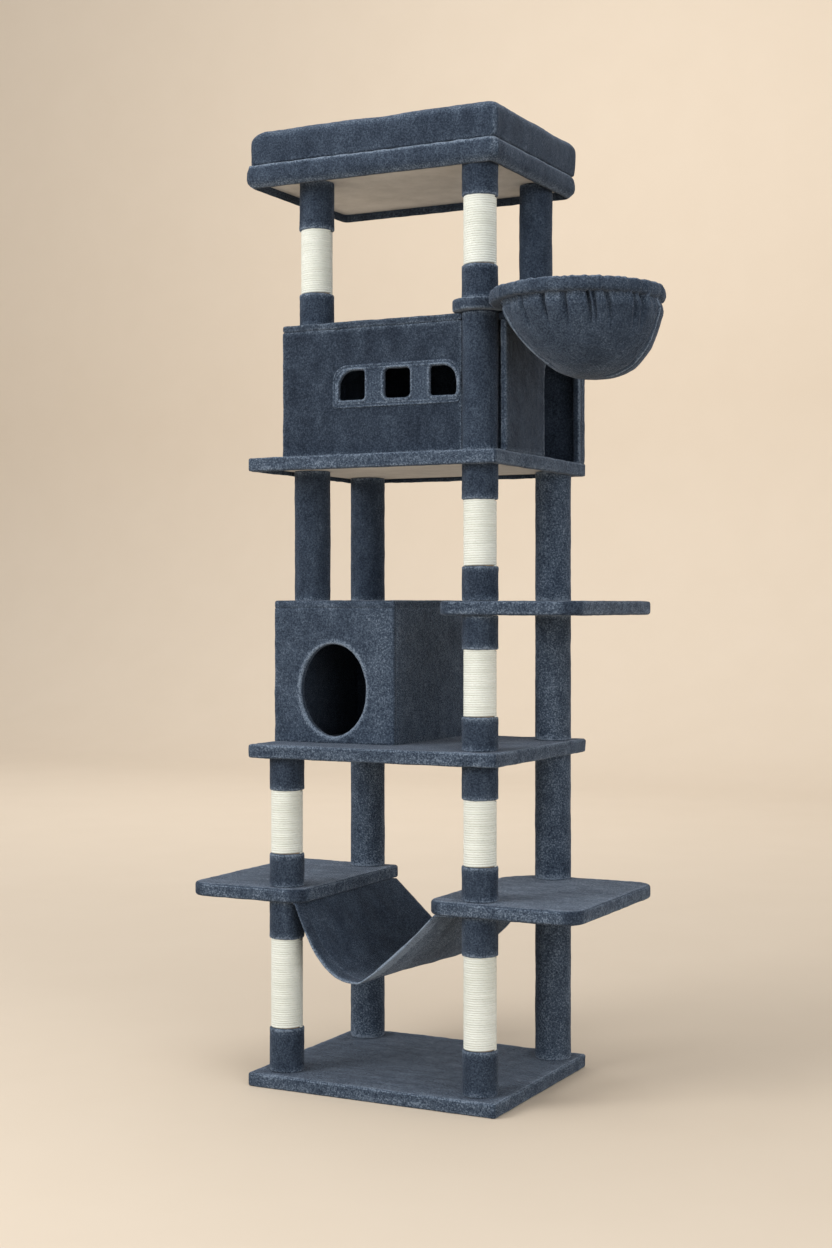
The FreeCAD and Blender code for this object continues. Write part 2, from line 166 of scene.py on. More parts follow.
def join(name, pieces):
    """One mesh from several."""
    verts, faces, pile_and_highlight_values, first = [], [], [], 0
    for piece in pieces:
        found = points_of(piece)
        verts.append(found)
        faces += [[first + v for v in polygon.vertices] for polygon in piece.data.polygons]
        pile_and_highlight_values.append(pile_and_painted_highlight_of(piece))
        first += len(found)
    for piece in pieces:
        bpy.data.objects.remove(piece)
    joined = make(name, np.concatenate(verts), faces)
    pile_and_painted_highlight(joined, np.concatenate(pile_and_highlight_values))
    return joined


def pile_and_painted_highlight(piece, amount):
    """How much lighter the pile is painted at each point, from 0 to 1, kept on the mesh for its
    material: partly brushed-up pile, partly a painted highlight.
    """
    layer = piece.data.attributes.get("pile_and_painted_highlight")
    layer = layer or piece.data.attributes.new("pile_and_painted_highlight", "FLOAT", "POINT")
    layer.data.foreach_set("value", np.clip(amount, 0, 1).astype(np.float32))


def pile_and_painted_highlight_of(piece):
    layer = piece.data.attributes.get("pile_and_painted_highlight")
    found = np.zeros(len(piece.data.vertices), np.float32)
    if layer:
        layer.data.foreach_get("value", found)
    return found


def ticks(low, high, fine, cell=CELL):
    """Grid lines from low to high: the distances in `fine` in from each end, even in between."""
    lines = [low + f for f in fine] + [high - f for f in fine]
    start, end = low + max(fine), high - max(fine)
    count = max(int(round((end - start) / cell)), 1)
    lines += list(np.linspace(start, end, count + 1))
    return np.array(sorted(set(np.round(lines, 6))))


def lattice(xs, ys, zs):
    """The surface of a block as points and quads, with grid lines at xs, ys and zs."""
    mask = np.zeros((len(xs), len(ys), len(zs)), bool)
    mask[[0, -1]] = True
    mask[:, [0, -1]] = True
    mask[:, :, [0, -1]] = True
    index = np.full(mask.shape, -1)
    index[mask] = np.arange(mask.sum())
    points = np.stack(np.meshgrid(xs, ys, zs, indexing="ij"), -1)[mask]
    faces = []
    sides = ((index[:, :, -1], 1), (index[:, :, 0], -1), (index[:, 0], 1), (index[:, -1], -1),
             (index[-1], 1), (index[0], -1))
    for side, way in sides:
        quads = np.stack([side[:-1, :-1], side[1:, :-1], side[1:, 1:], side[:-1, 1:]], -1)
        faces.append(quads.reshape(-1, 4)[:, ::way])
    return points, np.concatenate(faces)


def rounded(points, low, high, corners, edge):
    """Bend a block's surface so that its upright corners and its flat edges are round."""
    middle, half = (low + high) / 2, (high - low) / 2
    p = points - middle
    right, behind = p[:, 0] > 0, p[:, 1] > 0
    corner = np.where(behind, np.where(right, corners[2], corners[3]),
                      np.where(right, corners[1], corners[0]))
    straight = half[:2] - corner[:, None]
    near = np.clip(p[:, :2], -straight, straight)
    out = p[:, :2] - near
    reach = np.abs(out).max(1)
    way = out / np.maximum(np.linalg.norm(out, axis=1), 1e-12)[:, None]
    a = np.clip((reach - corner + edge) / edge, 0, 1)
    b = np.clip((np.abs(p[:, 2]) - half[2] + edge) / edge, 0, 1)
    both = np.maximum(np.hypot(a, b), 1e-12)
    top = np.maximum(a, b)
    a, b = a / both * top, b / both * top
    reach = np.where(reach > corner - edge, corner - edge + edge * a, reach)
    z = np.where(np.abs(p[:, 2]) > half[2] - edge,
                 np.sign(p[:, 2]) * (half[2] - edge + edge * b), p[:, 2])
    flat = near + way * reach[:, None]
    return np.column_stack([flat, z]) + middle


def box_of(node):
    """The box round a CAD node, as two arrays."""
    low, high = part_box(node)
    return np.array(tuple(low)), np.array(tuple(high))


def inward(points, low, high):
    """How far in each point is from the nearest side of a box, seen from above."""
    return np.minimum(points[:, :2] - low[:2], high[:2] - points[:, :2]).min(1)


def fullness(points, low, high):
    """1 half way up a box, falling to 0 at its top and bottom."""
    middle, half = (low[2] + high[2]) / 2, (high[2] - low[2]) / 2
    return np.clip(1 - ((points[:, 2] - middle) / half) ** 2, 0, 1)


def loft(rings, capped=True):
    """Points and quads through equal rings of points, in order; ends are capped with a fan."""
    rings = np.asarray(rings)
    count, around = rings.shape[:2]
    index = np.arange(count * around).reshape(count, around)
    quads = np.stack([index[:-1], np.roll(index[:-1], -1, 1), np.roll(index[1:], -1, 1),
                      index[1:]], -1)
    faces = [list(f) for f in quads.reshape(-1, 4)]
    points = list(rings.reshape(-1, 3))
    if capped:
        for ring, way in ((0, -1), (count - 1, 1)):
            points.append(rings[ring].mean(0))
            hub = len(points) - 1
            row = index[ring]
            for a, b in zip(row, np.roll(row, -1)):
                faces.append([hub, a, b] if way > 0 else [hub, b, a])
    return np.array(points), faces


def torus(rings):
    """Points and quads through equal rings that run round and meet again."""
    rings = np.asarray(rings)
    count, around = rings.shape[:2]
    index = np.arange(count * around).reshape(count, around)
    further = np.roll(index, -1, 0)
    quads = np.stack([index, np.roll(index, -1, 1), np.roll(further, -1, 1), further], -1)
    return rings.reshape(-1, 3), quads.reshape(-1, 4)


# ---- materials
def tree_of(name):
    material = bpy.data.materials.new(name)
    material.use_nodes = True
    return material, material.node_tree


def feed(tree, socket, value):
    """Link a socket to another node's output, or give it a value."""
    if hasattr(value, "is_output"):
        tree.links.new(value, socket)
    else:
        socket.default_value = value


def shade(tree, inputs):
    """Feed the surface shader's inputs by name."""
    for key, value in inputs.items():
        feed(tree, tree.nodes["Principled BSDF"].inputs[key], value)


def node(tree, kind, links=None, **settings):
    made = tree.nodes.new("ShaderNode" + kind)
    for key, value in settings.items():
        setattr(made, key, value)
    for key, value in (links or {}).items():
        feed(tree, made.inputs[key], value)
    return made


def grain(tree, where, stretch, scale, detail=3.0, rough=0.55):
    """Noise on the object's own coordinates, drawn out by `stretch`."""
    mapped = node(tree, "Mapping", {"Vector": where, "Scale": stretch})
    noise = node(tree, "TexNoise", {"Vector": mapped.outputs[0], "Scale": scale,
                                    "Detail": detail, "Roughness": rough})
    return noise.outputs["Fac"]


def ramp(tree, value, stops):
    made = node(tree, "ValToRGB", {"Fac": value})
    band = made.color_ramp
    while len(band.elements) < len(stops):
        band.elements.new(0.5)
    for element, (at, colour) in zip(band.elements, stops):
        element.position = at
        element.color = (*colour, 1)
    return made.outputs["Color"]


def blend_colours(tree, kind, share, first, second):
    made = node(tree, "Mix", None, data_type="RGBA", blend_type=kind)
    for key, value in (("Factor", share), ("A", first), ("B", second)):
        feed(tree, next(s for s in made.inputs if s.name == key and s.enabled), value)
    return next(s for s in made.outputs if s.enabled)


def sums(tree, kind, first, second):
    made = node(tree, "Math", None, operation=kind)
    for socket, value in zip(made.inputs, (first, second)):
        feed(tree, socket, value)
    return made.outputs[0]


def weigh(tree, first, share, second, other):
    """first x share + second x other."""
    return sums(tree, "ADD", sums(tree, "MULTIPLY", first, share),
                sums(tree, "MULTIPLY", second, other))


def span(tree, value, low, high, new_low, new_high):
    made = node(tree, "MapRange", {"Value": value, "From Min": low, "From Max": high,
                                   "To Min": new_low, "To Max": new_high})
    return made.outputs["Result"]


def bumps(tree, layers):
    """One bump after another: (height, depth in metres, strength)."""
    normal = None
    for height, depth, strength in layers:
        links = {"Height": height, "Distance": depth, "Strength": strength}
        if normal is not None:
            links["Normal"] = normal
        normal = node(tree, "Bump", links).outputs["Normal"]
    return normal


def plush(name, stretch, brushed=1.0, light=1.0):
    """Short dense pile, brushed in patches, lighter where the pile is painted lighter point by point:
    partly brushed-up pile, partly a painted highlight.
    """
    material, tree = tree_of(name)
    where = node(tree, "TexCoord").outputs["Object"]
    strokes = grain(tree, where, stretch, 11.0, 4.0, 0.62)
    patches = grain(tree, where, (1, 1, 1), 26.0, 3.0, 0.55)
    clumps = grain(tree, where, (1, 1, 1), 290.0, 3.0, 0.65)
    fibres = grain(tree, where, (1, 1, 1), 900.0, 2.0, 0.6)
    lay = weigh(tree, strokes, 0.62, patches, 0.38)
    lay = span(tree, lay, 0.34, 0.66, 0.5 - 0.5 * brushed, 0.5 + 0.5 * brushed)
    fine = weigh(tree, clumps, 0.6, fibres, 0.4)
    fine = span(tree, fine, 0.38, 0.62, 0.0, 1.0)
    level = weigh(tree, lay, 0.34, fine, 0.52)
    # painted highlight: the per-point layer lightens the tones, broken up by the clumps
    raised_pile_and_highlight = node(tree, "Attribute", None, attribute_name="pile_and_painted_highlight").outputs["Fac"]
    highlight_in_clumps = sums(tree, "MULTIPLY", raised_pile_and_highlight, span(tree, clumps, 0.3, 0.7, 0.35, 0.95))
    level = sums(tree, "ADD", level, highlight_in_clumps)
    tones = ((0.0105, 0.0155, 0.0255), (0.0255, 0.0360, 0.0550), (0.055, 0.075, 0.106),
             (0.165, 0.205, 0.260))
    stops = [(at, tuple(c * light for c in tone))
             for at, tone in zip((0.10, 0.40, 0.68, 1.0), tones)]
    layers = ((patches, 0.004, 0.3), (clumps, 0.0022, 0.8), (fibres, 0.0009, 0.8))
    shade(tree, {"Base Color": ramp(tree, level, stops),
                 "Roughness": span(tree, fine, 0, 1, 0.98, 0.82), "Normal": bumps(tree, layers),
                 "Specular IOR Level": 0.06, "Sheen Weight": 0.26, "Sheen Roughness": 0.24,
                 "Sheen Tint": (0.62, 0.70, 0.84, 1)})
    return material


def sisal():
    """Hard twisted fibre rope with loose hairs and uneven bleaching."""
    material, tree = tree_of("sisal_rope")
    where = node(tree, "TexCoord").outputs["Object"]
    hairs = grain(tree, where, (1, 1, 7), 260.0, 4.0, 0.65)
    coils = grain(tree, where, (0.4, 0.4, 6), 30.0, 2.0, 0.5)
    dirt = grain(tree, where, (1, 1, 1), 14.0, 3.0, 0.5)
    level = weigh(tree, hairs, 0.55, coils, 0.45)
    colour = ramp(tree, level, ((0.28, (0.53, 0.545, 0.485)), (0.5, (0.635, 0.65, 0.595)),
                                (0.72, (0.73, 0.75, 0.695))))
    colour = blend_colours(tree, "MULTIPLY", 1.0, colour,
                           ramp(tree, dirt, ((0.3, (0.94, 0.94, 0.92)), (0.7, (1, 1, 1)))))
    shade(tree, {"Base Color": colour, "Roughness": span(tree, hairs, 0.3, 0.7, 0.72, 0.92),
                 "Normal": bumps(tree, ((hairs, 0.0006, 0.6),)), "Specular IOR Level": 0.25,
                 "Sheen Weight": 0.15})
    return material


def felt():
    """Thin non-woven sheet: short fibres pressed flat, slightly cloudy."""
    material, tree = tree_of("underside_felt")
    where = node(tree, "TexCoord").outputs["Object"]
    cloud = grain(tree, where, (1, 1, 1), 18.0, 4.0, 0.6)
    fibres = grain(tree, where, (1.0, 2.2, 1.0), 520.0, 3.0, 0.7)
    pits = node(tree, "TexVoronoi", {"Vector": where, "Scale": 420.0}).outputs["Distance"]
    level = weigh(tree, cloud, 0.5, fibres, 0.5)
    stops = ((0.32, (0.40, 0.385, 0.36)), (0.52, (0.52, 0.50, 0.47)), (0.7, (0.63, 0.61, 0.58)))
    shade(tree, {"Base Color": ramp(tree, level, stops),
                 "Roughness": span(tree, fibres, 0.3, 0.7, 0.85, 0.98),
                 "Normal": bumps(tree, ((fibres, 0.0004, 0.5), (pits, 0.0003, 0.4))),
                 "Sheen Weight": 0.1})
    return material


def steel(name, tone, rough, metal):
    """Plated or painted metal with fine scratches and a little dullness."""
    material, tree = tree_of(name)
    where = node(tree, "TexCoord").outputs["Object"]
    marks = grain(tree, where, (1, 1, 14), 220.0, 3.0, 0.6)
    cloud = grain(tree, where, (1, 1, 1), 60.0, 2.0, 0.5)
    low = tuple(c * 0.8 for c in tone)
    shade(tree, {"Base Color": ramp(tree, cloud, ((0.35, low), (0.65, tone))),
                 "Roughness": span(tree, marks, 0.3, 0.7, rough, rough + 0.2),
                 "Normal": bumps(tree, ((marks, 0.0001, 0.3),)), "Metallic": metal})
    return material


def wood(name, dark, pale, stretch, scale):
    """Raw wood, chip board or card, in two tones."""
    material, tree = tree_of(name)
    where = node(tree, "TexCoord").outputs["Object"]
    lines = grain(tree, where, stretch, scale, 5.0, 0.6)
    chips = grain(tree, where, (1, 1, 1), scale * 4, 2.0, 0.5)
    level = weigh(tree, lines, 0.65, chips, 0.35)
    shade(tree, {"Base Color": ramp(tree, level, ((0.35, dark), (0.65, pale))),
                 "Roughness": span(tree, lines, 0.3, 0.7, 0.65, 0.85),
                 "Normal": bumps(tree, ((lines, 0.0004, 0.4),))})
    return material


FLAT_PLUSH = plush("plush_brushed_along", (1.0, 5.5, 5.5), 1.0)
WALL_PLUSH = plush("plush_on_panels", (2.0, 2.0, 1.4), 0.6)
# the upper house's plush is the same plush painted darker: painted shade
UPPER_PLUSH_PAINTED_SHADE = plush("plush_on_upper_house", (2.4, 2.4, 1.2), 0.75, 0.80)
POST_PLUSH = plush("plush_on_posts", (3.0, 3.0, 1.2), 0.8)
SOFT_PLUSH = plush("plush_on_padding", (2.4, 2.4, 1.0), 0.7)
# the hammock's plush is the same plush painted lighter: painted light
SLING_PLUSH_PAINTED_LIGHT = plush("plush_on_hammock", (2.4, 2.4, 1.0), 0.7, 1.15)
DEEP_PLUSH = plush("plush_gathered", (2.0, 2.0, 1.6), 0.7)
SISAL = sisal()
CARRIED = {
    "underside_felt": felt(),
    "zinc_steel": steel("zinc_plate", (0.62, 0.62, 0.60), 0.28, 1.0),
    "hoop_steel": steel("black_paint", (0.03, 0.03, 0.033), 0.45, 0.0),
    "tube_card": wood("wound_card", (0.25, 0.17, 0.10), (0.40, 0.29, 0.18), (1, 1, 6), 40.0),
    "batten_wood": wood("softwood", (0.38, 0.25, 0.13), (0.62, 0.45, 0.26), (1, 1, 9), 22.0),
    "particle_board": wood("particle_board", (0.33, 0.23, 0.13), (0.55, 0.42, 0.26),
                           (1, 1, 1), 160.0),
}


def dress(piece, material, body="root", nodes=()):
    """Give a piece its material and its body, and hide the CAD nodes that it stands for."""
    piece.data.materials.clear()
    piece.data.materials.append(material)
    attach(piece, body)
    if nodes:
        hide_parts(*nodes)


# ---- boards in plush
def wrapped(name, cad, corners, edge, lip, recess, seed, brushed=0.16, puff=0.0, skin=SKIN):
    """A plush cover pulled round a board and folded in underneath, open where the liner is."""
    low, high = box_of(cad)
    fine = [0, edge * 0.3, edge * 0.65, edge, edge + 0.003, lip, lip + 0.0015]
    if max(corners) > 0.03:
        fine += list(np.arange(0.012, max(corners) + 0.001, CELL))
    fine = sorted(set(fine))
    xs, ys = ticks(low[0], high[0], fine), ticks(low[1], high[1], fine)
    zs = ticks(low[2], high[2], [0, edge * 0.3, edge * 0.65, edge])
    points, faces = lattice(xs, ys, zs)
    inset = inward(points, low, high)
    under = points[:, 2] < low[2] + 1e-6
    well = under & (inset > lip + 0.0005)
    beyond = under & (inset > lip + 0.0020)
    keep = ~beyond[faces].any(1)
    shaped = rounded(points, low, high, corners, edge)
    shaped[well, 2] += recess
    piece = make(name, shaped, faces[keep])
    trim(piece)
    modify(piece, "SOLIDIFY", thickness=skin, offset=-1.0, use_rim=True)
    now = points_of(piece)
    rim = inward(now, low, high)
    outside = np.clip((np.abs(now[:, 2] - (low[2] + high[2]) / 2) - (high[2] - low[2]) / 2
                       + skin * 0.6) / (skin * 0.5), 0, 1)
    outside = np.maximum(outside, smooth_step(rim, skin * 0.9, skin * 0.4))
    uneven = 0.00035 * swell(now, 0.05, seed) + 0.00022 * swell(now, 0.016, seed + 1, 24)
    side = smooth_step(rim, 0.012, 0.0)
    uneven += side * (0.00045 * swell(now, 0.09, seed + 2) + 0.0003 * swell(now, 0.02, seed + 3))
    full = fullness(now, low, high)
    push(piece, (uneven + puff * full * side) * outside)
    top = hill(rim, edge * 0.4, edge * 0.9) * smooth_step(now[:, 2], high[2] - edge, high[2])
    bottom = side * hill(now[:, 2], low[2] + edge * 0.4, edge * 0.6)
    # painted highlight on the sides and on the top and bottom edges; `brushed` paints the middle
    # lighter, partly brushed pile and partly painted light
    pile_and_painted_highlight(piece, (0.62 * top + 0.16 * bottom + 0.26 * side) * outside
        + brushed * outside * (rim > edge))
    return piece


def trim(piece):
    """Drop the points that no face uses, and shade the rest smooth."""
    used = np.zeros(len(piece.data.vertices), bool)
    for polygon in piece.data.polygons:
        used[list(polygon.vertices)] = True
    number = np.cumsum(used) - 1
    faces = [[int(number[v]) for v in polygon.vertices] for polygon in piece.data.polygons]
    points = points_of(piece)[used]
    old = piece.data
    mesh = bpy.data.meshes.new(piece.name)
    mesh.from_pydata(points.tolist(), [], faces)
    mesh.polygons.foreach_set("use_smooth", [True] * len(faces))
    mesh.update()
    piece.data = mesh
    bpy.data.meshes.remove(old)


DECK_CORNERS, DECK_EDGE, STEP_EDGE = (0.007,) * 4, 0.0055, 0.0070
FOLD, SHALLOW = 0.025, 0.0034
DECK_LIP, DEEP = 0.014, 0.0100
for name, corners, edge, lip, recess, brushed, seed in (
        ("base", DECK_CORNERS, DECK_EDGE, FOLD, SHALLOW, 0.16, 11),
        ("left_step", (0.045, 0.045, 0.010, 0.045), STEP_EDGE, FOLD, SHALLOW, 0.34, 23),
        ("right_step", (0.045, 0.045, 0.045, 0.100), STEP_EDGE, FOLD, SHALLOW, 0.42, 31),
        ("upper_step", (0.045,) * 4, STEP_EDGE, FOLD, SHALLOW, 0.22, 47),
        ("middle_deck", DECK_CORNERS, DECK_EDGE, DECK_LIP, DEEP, 0.16, 53),
        ("upper_deck", DECK_CORNERS, DECK_EDGE, DECK_LIP, DEEP, 0.16, 61)):
    cad = name + "_plush_cover"
    cover = wrapped(name + "_plush", cad, corners, edge, lip, recess, seed, brushed)
    if name == "base":
        put(cover, np.maximum(points_of(cover), (-math.inf, -math.inf, cad_box[0][2])))
    dress(cover, FLAT_PLUSH, nodes=[cad])


# ---- posts
FRONT_RIGHT = (0.236, -0.187)      # the axis of the front right post


def band(place, low, high, radius, seed, brushed):
    """A tight plush tube on a post, puckered at both ends, with one upright seam."""
    inner, soft, gather, around = TUBE - 0.0003, 0.0035, 0.0006, 72
    heights = ticks(low, high, [0, soft * 0.3, soft * 0.65, soft, soft + 0.003], 0.009)
    angle = turns(around)
    rings = []
    for z in heights:
        end = min(z - low, high - z)
        drop = soft - math.sqrt(max(soft ** 2 - max(soft - end, 0) ** 2, 0))
        rings.append((radius - drop, z))
    rings = [(inner, low), *rings, (inner, high)]
    path = np.array([[[place[0] + r * math.cos(a), place[1] + r * math.sin(a), z]
                      for a in angle] for r, z in rings])
    points, faces = torus(path)
    faces = faces[:, ::-1]
    piece = make("band", points, faces)
    now = points_of(piece)
    around_it = np.arctan2(now[:, 1] - place[1], now[:, 0] - place[0])
    out = np.hypot(now[:, 0] - place[0], now[:, 1] - place[1])
    skin = smooth_step(out, inner + 0.002, radius - 0.003)
    end = np.minimum(now[:, 2] - low, high - now[:, 2])
    draw = np.random.RandomState(seed)
    puckers = sum(np.sin(around_it * n + draw.uniform(0, 6.28)) for n in (9, 14, 19)) / 3
    seam = 0.35 + 0.9 * math.pi + draw.uniform(-0.5, 0.5)
    from_seam = np.abs((around_it - seam + math.pi) % (2 * math.pi) - math.pi) * radius
    rise = 0.00035 * swell(now, 0.06, seed) + 0.0002 * swell(now, 0.018, seed + 1, 20)
    rise += gather * puckers * hill(end, 0.004, 0.010)
    rise += 0.0008 * hill(from_seam, 0.004, 0.0025) - 0.0012 * hill(from_seam, 0, 0.0018)
    push(piece, rise * skin)
    # painted highlight at the puckered ends and along the seam; `brushed` paints the whole tube
    # lighter
    pile_and_painted_highlight(piece, skin * (0.55 * hill(end, 0.0025, 0.0045) + 0.35 * hill(from_seam, 0.004, 0.003)
                       + brushed))
    return piece


def rope_wound(name, place, low, high):
    """Sisal rope wound tight round a tube: one helix of three-strand rope with tucked ends."""
    lay_radius = SISAL_RADIUS - ROPE
    laps = math.floor((high - low - 2 * ROPE) / (2 * ROPE))
    pitch = (high - low - 2 * ROPE) / laps
    per_turn, sides = 56, 8
    count = laps * per_turn + 1
    t = np.arange(count) / per_turn * 2 * math.pi
    z = low + ROPE + pitch * t / (2 * math.pi)
    centre = np.column_stack([place[0] + lay_radius * np.cos(t),
                              place[1] + lay_radius * np.sin(t), z])
    out = np.column_stack([np.cos(t), np.sin(t), 0 * t])
    up = np.array([0, 0, 1.0])
    wobble = 0.00012 * swell(centre, 0.03, 5)
    angle = turns(sides)
    twist = t * lay_radius / STRAND * 2 * math.pi / 3
    lobes = 1 + 0.07 * np.cos(3 * (angle[None, :] - twist[:, None]))
    radius = (pitch / 2 * OVERLAP + wobble)[:, None] * lobes
    rings = (centre[:, None] + out[:, None] * (np.cos(angle)[None, :] * radius * FLATTENED)[..., None]
             + up * (np.sin(angle)[None, :] * radius)[..., None])
    points, faces = loft(rings)
    return outward(make(name, points, faces))


# sisal sections
for cad in sorted(frame["nodes"]):
    if cad.endswith("_sisal"):
        low, high = box_of(cad)
        place = (low[:2] + high[:2]) / 2
        piece = rope_wound(cad.replace("_sisal", "_rope"), place, low[2] - SISAL_TUCK,
                           high[2] + SISAL_TUCK)
        dress(piece, SISAL, nodes=[cad])


def solids_of(cad):
    """The lowest and highest corner of each separate solid in a CAD node."""
    mesh = frame["nodes"][cad].data
    points = points_of(frame["nodes"][cad])
    keys = {}
    number = np.array([keys.setdefault(tuple(np.round(p, 5)), len(keys)) for p in points])
    parent = list(range(len(keys)))

    def root(i):
        while parent[i] != i:
            parent[i] = parent[parent[i]]
            i = parent[i]
        return i

    for polygon in mesh.polygons:
        first, *others = [root(number[v]) for v in polygon.vertices]
        for other in others:
            parent[root(other)] = root(first)
    owner = np.array([root(n) for n in number])
    found = [points[owner == o] for o in sorted(set(owner))]
    boxes = [(p.min(0), p.max(0)) for p in found]
    return sorted(boxes, key=lambda b: (round(b[0][0], 3), round(b[0][1], 3), b[0][2]))


for cad in ("front_left_cuffs", "front_right_cuffs", "perch_posts_cuffs", "back_left_sleeve",
            "back_right_sleeve", "house_posts_sleeve", "front_right_fifth_sleeve",
            "perch_right_sleeve"):
    parts = []
    for number, (low, high) in enumerate(solids_of(cad)):
        place = (low[:2] + high[:2]) / 2
        radius = (high[0] - low[0]) / 2
        seed = 100 + 7 * number + len(cad) * 13
        # the back posts are painted lighter: painted light, as they stand in less light
        parts.append(band(place, low[2], high[2], radius, seed, 0.30 if "back" in cad else 0.0))
    name = cad.replace("_sleeve", "_post_plush").replace("_cuffs", "_plush_cuffs")
    dress(join(name, parts), POST_PLUSH, nodes=[cad])


# ---- house panels
def rounded_rectangle(a, b, u, v, radii):
    """Signed distance, below 0 inside, to a rectangle with a radius for each corner."""
    cu, cv = (u[0] + u[1]) / 2, (v[0] + v[1]) / 2
    right, top = a > cu, b > cv
    r = np.where(top, np.where(right, radii[2], radii[3]), np.where(right, radii[1], radii[0]))
    du = np.abs(a - cu) - (u[1] - u[0]) / 2 + r
    dv = np.abs(b - cv) - (v[1] - v[0]) / 2 + r
    return np.hypot(np.maximum(du, 0), np.maximum(dv, 0)) + np.minimum(np.maximum(du, dv), 0) - r


def oval(a, b, centre, half):
    """Roughly the signed distance to an oval."""
    x, z = (a - centre[0]) / half[0], (b - centre[1]) / half[1]
    k = np.hypot(x, z)
    slope = np.hypot(x / half[0], z / half[1]) / np.maximum(k, 1e-9)
    return (k - 1) / np.maximum(slope, 1e-9)


def remeshed(name, solids, cutters, voxel, smooth=4):
    """Blocks joined and cut, then remeshed evenly and eased, which rounds every edge."""
    base, *more = solids
    for other, operation in [(o, "UNION") for o in more] + [(c, "DIFFERENCE") for c in cutters]:
        modify(base, "BOOLEAN", object=other, operation=operation, solver="EXACT")
        bpy.data.objects.remove(other)
    modify(base, "REMESH", mode="VOXEL", voxel_size=voxel)
    modify(base, "SMOOTH", factor=0.5, iterations=smooth)
    base.name = name
    return base


def block(low, high):
    points, faces = lattice(*[np.array([a, b]) for a, b in zip(low, high)])
    return make("block", points, faces, smooth=False)


def prism(ring, depth):
    """A closed outline pushed along `depth`, as a cutter."""
    ring = np.asarray(ring)
    points, faces = loft([ring, ring + np.asarray(depth)])
    return outward(make("prism", points, faces, smooth=False))


def plate_outline(u, v, radii, place, count=10):
    """Points round a rectangle with four corner radii."""
    found = []
    quarters = (((0, 0), 180), ((1, 0), 270), ((1, 1), 0), ((0, 1), 90))
    for ((i, j), start), r in zip(quarters, radii):
        cu = u[i] + (r if i == 0 else -r)
        cv = v[j] + (r if j == 0 else -r)
        for k in range(count):
            angle = math.radians(start + 90 * k / (count - 1))
            found.append(place(cu + r * math.cos(angle), cv + r * math.sin(angle)))
    return found


def pile(piece, seed, ridge=None, amount=1.0):
    """Uneven pile on a panel, with any raised seams; gives back the painted highlight along them."""
    now = points_of(piece)
    rise = 0.00045 * swell(now, 0.055, seed) + 0.00022 * swell(now, 0.017, seed + 1, 24)
    rise *= amount
    ridge_highlight = np.zeros(len(now))
    if ridge is not None:
        more, ridge_highlight = ridge(now)
        rise = rise + more
    push(piece, rise)
    return ridge_highlight


def panel(name, cad, cutters=(), seed=0, ridge=None, grow=0.0006, seam=0.45, brushed=0.0):
    """One side of a house: `seam` is how bright its edges are painted, a painted highlight; `brushed`
    how much lighter its middle is painted, partly brushed pile and partly painted light.
    """
    low, high = box_of(cad)
    piece = remeshed(name, [block(low - grow, high + grow)], cutters, 0.0036,
                     2 if grow > 0.001 else 4)
    ridge_highlight = pile(piece, seed, ridge)
    now = points_of(piece)
    edge = np.sort(np.minimum(now - low, high - now), 1)[:, 1]
    pile_and_painted_highlight(piece, np.maximum(seam * hill(edge, 0, 0.006), ridge_highlight) + brushed)
    dress(piece, UPPER_PLUSH_PAINTED_SHADE if cad.startswith(UPPER) else WALL_PLUSH, nodes=[cad])


LOWER, UPPER = "lower_house_", "upper_house_"
lf_low, lf_high = box_of(LOWER + "front")
ENTRANCE_HALF, ENTRANCE_SILL = (0.083, 0.103), 0.0145
entrance = ((lf_low[0] + lf_high[0]) / 2, lf_low[2] + ENTRANCE_SILL + ENTRANCE_HALF[1])
turn = turns(72)
entrance_ring = [(entrance[0] + ENTRANCE_HALF[0] * math.cos(a), lf_low[1] - 0.02,
                  entrance[1] + ENTRANCE_HALF[1] * math.sin(a)) for a in turn]


def entrance_ridge(now):
    off = oval(now[:, 0], now[:, 2], entrance, ENTRANCE_HALF)
    face = smooth_step(now[:, 1], lf_low[1] + 0.004, lf_low[1] + 0.001)
    patch = 0.16 * hill(now[:, 0], lf_high[0] - 0.030, 0.035)
    rise = 0.0016 * hill(off, 0.003, 0.004) - 0.0006 * hill(off, 0.0105, 0.0022)
    # the second value is a painted highlight on the raised rim round the entrance and on a band by the
    # front's right edge
    return rise, face * np.maximum(0.7 * hill(off, 0.002, 0.006), patch)


TIGHT = dict(grow=0.0015, seam=0.12)
panel("lower_house_front_panel", LOWER + "front", [prism(entrance_ring, (0, 0.06, 0))], 71,
      entrance_ridge, brushed=0.12, **TIGHT)
for side, seed, brushed in (("back", 73, 0.05), ("left", 79, 0.05), ("right", 83, 0.24),
                            ("roof", 89, 0.12)):
    panel("lower_house_%s_panel" % side, LOWER + side, (), seed, brushed=brushed, **TIGHT)

# the upper house: three windows inside a piped surround, and a doorway on its right
WINDOW, WINDOW_PITCH, CROWN, WINDOW_CORNER = 0.064, 0.110, 0.036, 0.007
WINDOW_SILL, FIRST_WINDOW = 0.017, -0.057
sur_low, sur_high = box_of(UPPER + "window_surround")
window_z = (sur_low[2] + WINDOW_SILL, sur_low[2] + WINDOW_SILL + WINDOW)
windows = []
for number in range(3):
    middle = FIRST_WINDOW + number * WINDOW_PITCH
    radii = [WINDOW_CORNER * (1.6 if number == 1 else 1)] * 4
    if number != 1:
        radii[3 if number == 0 else 2] = CROWN
    windows.append(((middle - WINDOW / 2, middle + WINDOW / 2), window_z, radii))


def window_cutters(y, depth, wider=0.0):
    return [prism(plate_outline((u[0] - wider, u[1] + wider / 2), v, radii,
                                lambda a, b: (a, y, b)), (0, depth, 0))
            for u, v, radii in windows]


def window_distance(now):
    return np.min([rounded_rectangle(now[:, 0], now[:, 2], u, v, radii)
                   for u, v, radii in windows], 0)


